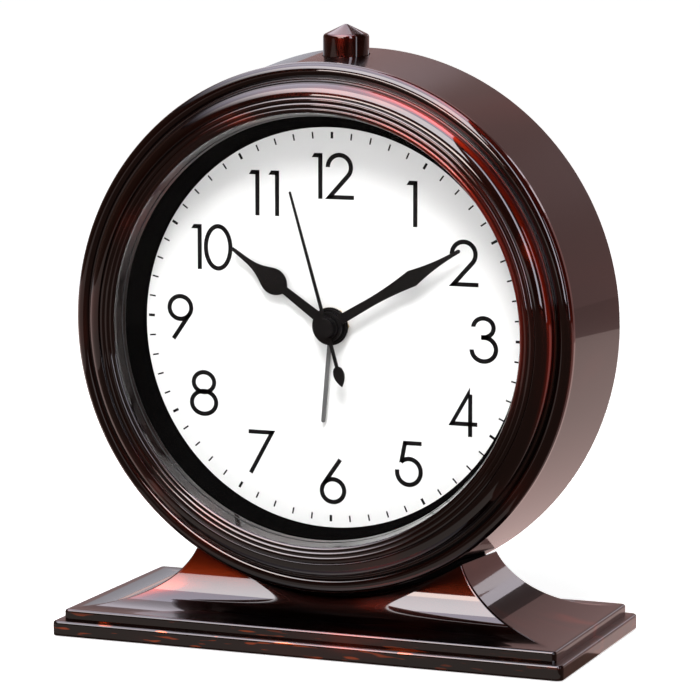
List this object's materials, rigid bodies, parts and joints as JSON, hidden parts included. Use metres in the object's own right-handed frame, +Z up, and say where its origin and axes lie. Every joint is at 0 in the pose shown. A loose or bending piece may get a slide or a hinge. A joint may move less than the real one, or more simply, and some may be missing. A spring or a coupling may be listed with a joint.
{
  "type": "desk alarm clock",
  "caption": "Round desk alarm clock in a deep tapered drum on a coved, stepped pedestal, with hour, minute, second and alarm hands under glass and a push button on top.",
  "frame": {"origin": "middle of the clock's footprint on the table, at the bottoms of the feet", "axes": "+X to the right as the dial is read, +Y from the dial towards the back, +Z up"},
  "size_m": [0.1532, 0.0716, 0.1736],
  "materials": {
    "case_lacquer": "gloss",
    "clear_glass": "gloss",
    "hand_black": "satin",
    "alarm_grey": "satin",
    "dial_white": "matte",
    "black_plastic": "matte",
    "train_plastic": "matte",
    "board_green": "satin",
    "rubber_black": "matte",
    "bright_steel": "satin",
    "brass_yellow": "satin",
    "copper_wire": "satin"
  },
  "bodies": {
    "clock": {"alarm_contact_spring": "bright_steel", "back_cover": "black_plastic", "base_plate": "black_plastic", "base_screws": "bright_steel", "battery_cell": "bright_steel", "bezel": "case_lacquer", "bezel_screws": "bright_steel", "button_guide": "black_plastic", "button_spring": "bright_steel", "button_switch": "black_plastic", "buzzer": "black_plastic", "circuit_board": "board_green", "coil_bobbin": "train_plastic", "coil_winding": "copper_wire", "cover_screws": "bright_steel", "dial_plate": "dial_white", "drum_case": "case_lacquer", "glass_lens": "clear_glass", "head_screws": "bright_steel", "hub_nut": "brass_yellow", "lens_gasket": "rubber_black", "middle_plate": "bright_steel", "movement_front_case": "black_plastic", "movement_rear_case": "black_plastic", "movement_screws": "bright_steel", "negative_spring": "bright_steel", "pedestal_base": "case_lacquer", "positive_contact": "bright_steel", "quartz_crystal": "bright_steel", "reflector_ring": "black_plastic", "rubber_feet": "rubber_black", "saddle_pad": "rubber_black", "stator": "bright_steel", "switch_board": "board_green", "timing_chip": "black_plastic"},
    "second": {"second_wheel": "train_plastic", "second_hand": "hand_black"},
    "minute": {"centre_wheel": "train_plastic", "minute_hand": "hand_black"},
    "hour": {"hour_wheel": "train_plastic", "hour_hand": "hand_black"},
    "third": {"third_wheel": "train_plastic"},
    "fifth": {"fifth_wheel": "train_plastic"},
    "rotor": {"rotor": "train_plastic"},
    "minute_train": {"minute_wheel": "train_plastic"},
    "time_setter": {"time_set_shaft": "bright_steel", "time_set_knob": "black_plastic"},
    "alarm_setter": {"alarm_set_shaft": "bright_steel", "alarm_set_knob": "black_plastic"},
    "alarm": {"alarm_wheel": "train_plastic", "alarm_hand": "alarm_grey"},
    "button": {"top_button": "case_lacquer", "button_stem": "bright_steel"},
    "switch": {"alarm_switch": "black_plastic"},
    "door": {"battery_door": "black_plastic"}
  },
  "joints": [
    {"name": "second_hand_turn", "type": "hinge", "parent": "clock", "child": "second", "pos_m": [0, 0, 0.0899], "axis": [0, 1, 0], "continuous": true},
    {"name": "minute_hand_turn", "type": "hinge", "parent": "clock", "child": "minute", "pos_m": [0, 0, 0.0899], "axis": [0, 1, 0], "continuous": true},
    {"name": "hour_hand_turn", "type": "hinge", "parent": "clock", "child": "hour", "pos_m": [0, 0, 0.0899], "axis": [0, 1, 0], "continuous": true},
    {"name": "third_wheel_turn", "type": "hinge", "parent": "clock", "child": "third", "pos_m": [-0.00799, 0, 0.08699], "axis": [0, 1, 0], "continuous": true},
    {"name": "fifth_wheel_turn", "type": "hinge", "parent": "clock", "child": "fifth", "pos_m": [-0.0042, 0, 0.09717], "axis": [0, 1, 0], "continuous": true},
    {"name": "rotor_turn", "type": "hinge", "parent": "clock", "child": "rotor", "pos_m": [-0.01109, 0, 0.09839], "axis": [0, 1, 0], "continuous": true},
    {"name": "minute_wheel_turn", "type": "hinge", "parent": "clock", "child": "minute_train", "pos_m": [0.003, 0, 0.0951], "axis": [0, 1, 0], "continuous": true},
    {"name": "time_set_turn", "type": "hinge", "parent": "clock", "child": "time_setter", "pos_m": [0.0082, 0, 0.0981], "axis": [0, 1, 0], "continuous": true},
    {"name": "alarm_set_turn", "type": "hinge", "parent": "clock", "child": "alarm_setter", "pos_m": [0.0048, 0, 0.08159], "axis": [0, 1, 0], "continuous": true},
    {"name": "alarm_hand_turn", "type": "hinge", "parent": "clock", "child": "alarm", "pos_m": [0, 0, 0.0899], "axis": [0, 1, 0], "continuous": true},
    {"name": "button_press", "type": "slide", "parent": "clock", "child": "button", "axis": [0, 0, -1], "range_m": [0, 0.002], "stiffness_N_per_m": 500, "springref_m": -0.002, "deforming": ["button_spring"]},
    {"name": "alarm_switch_slide", "type": "slide", "parent": "clock", "child": "switch", "axis": [1, 0, 0], "range_m": [0, 0.0042]},
    {"name": "battery_door_off", "type": "slide", "parent": "clock", "child": "door", "axis": [0, 1, 0], "range_m": [0, 0.03]}
  ],
  "couplings": [
    {"joint": "minute_hand_turn", "follows": "second_hand_turn", "ratio": 0.016667},
    {"joint": "hour_hand_turn", "follows": "second_hand_turn", "ratio": 0.0013889},
    {"joint": "third_wheel_turn", "follows": "second_hand_turn", "ratio": -0.13333},
    {"joint": "fifth_wheel_turn", "follows": "second_hand_turn", "ratio": -5},
    {"joint": "rotor_turn", "follows": "second_hand_turn", "ratio": 30},
    {"joint": "minute_wheel_turn", "follows": "second_hand_turn", "ratio": -0.0055556},
    {"joint": "time_set_turn", "follows": "second_hand_turn", "ratio": 0.016667},
    {"joint": "alarm_hand_turn", "follows": "alarm_set_turn", "ratio": -0.33333}
  ]
}
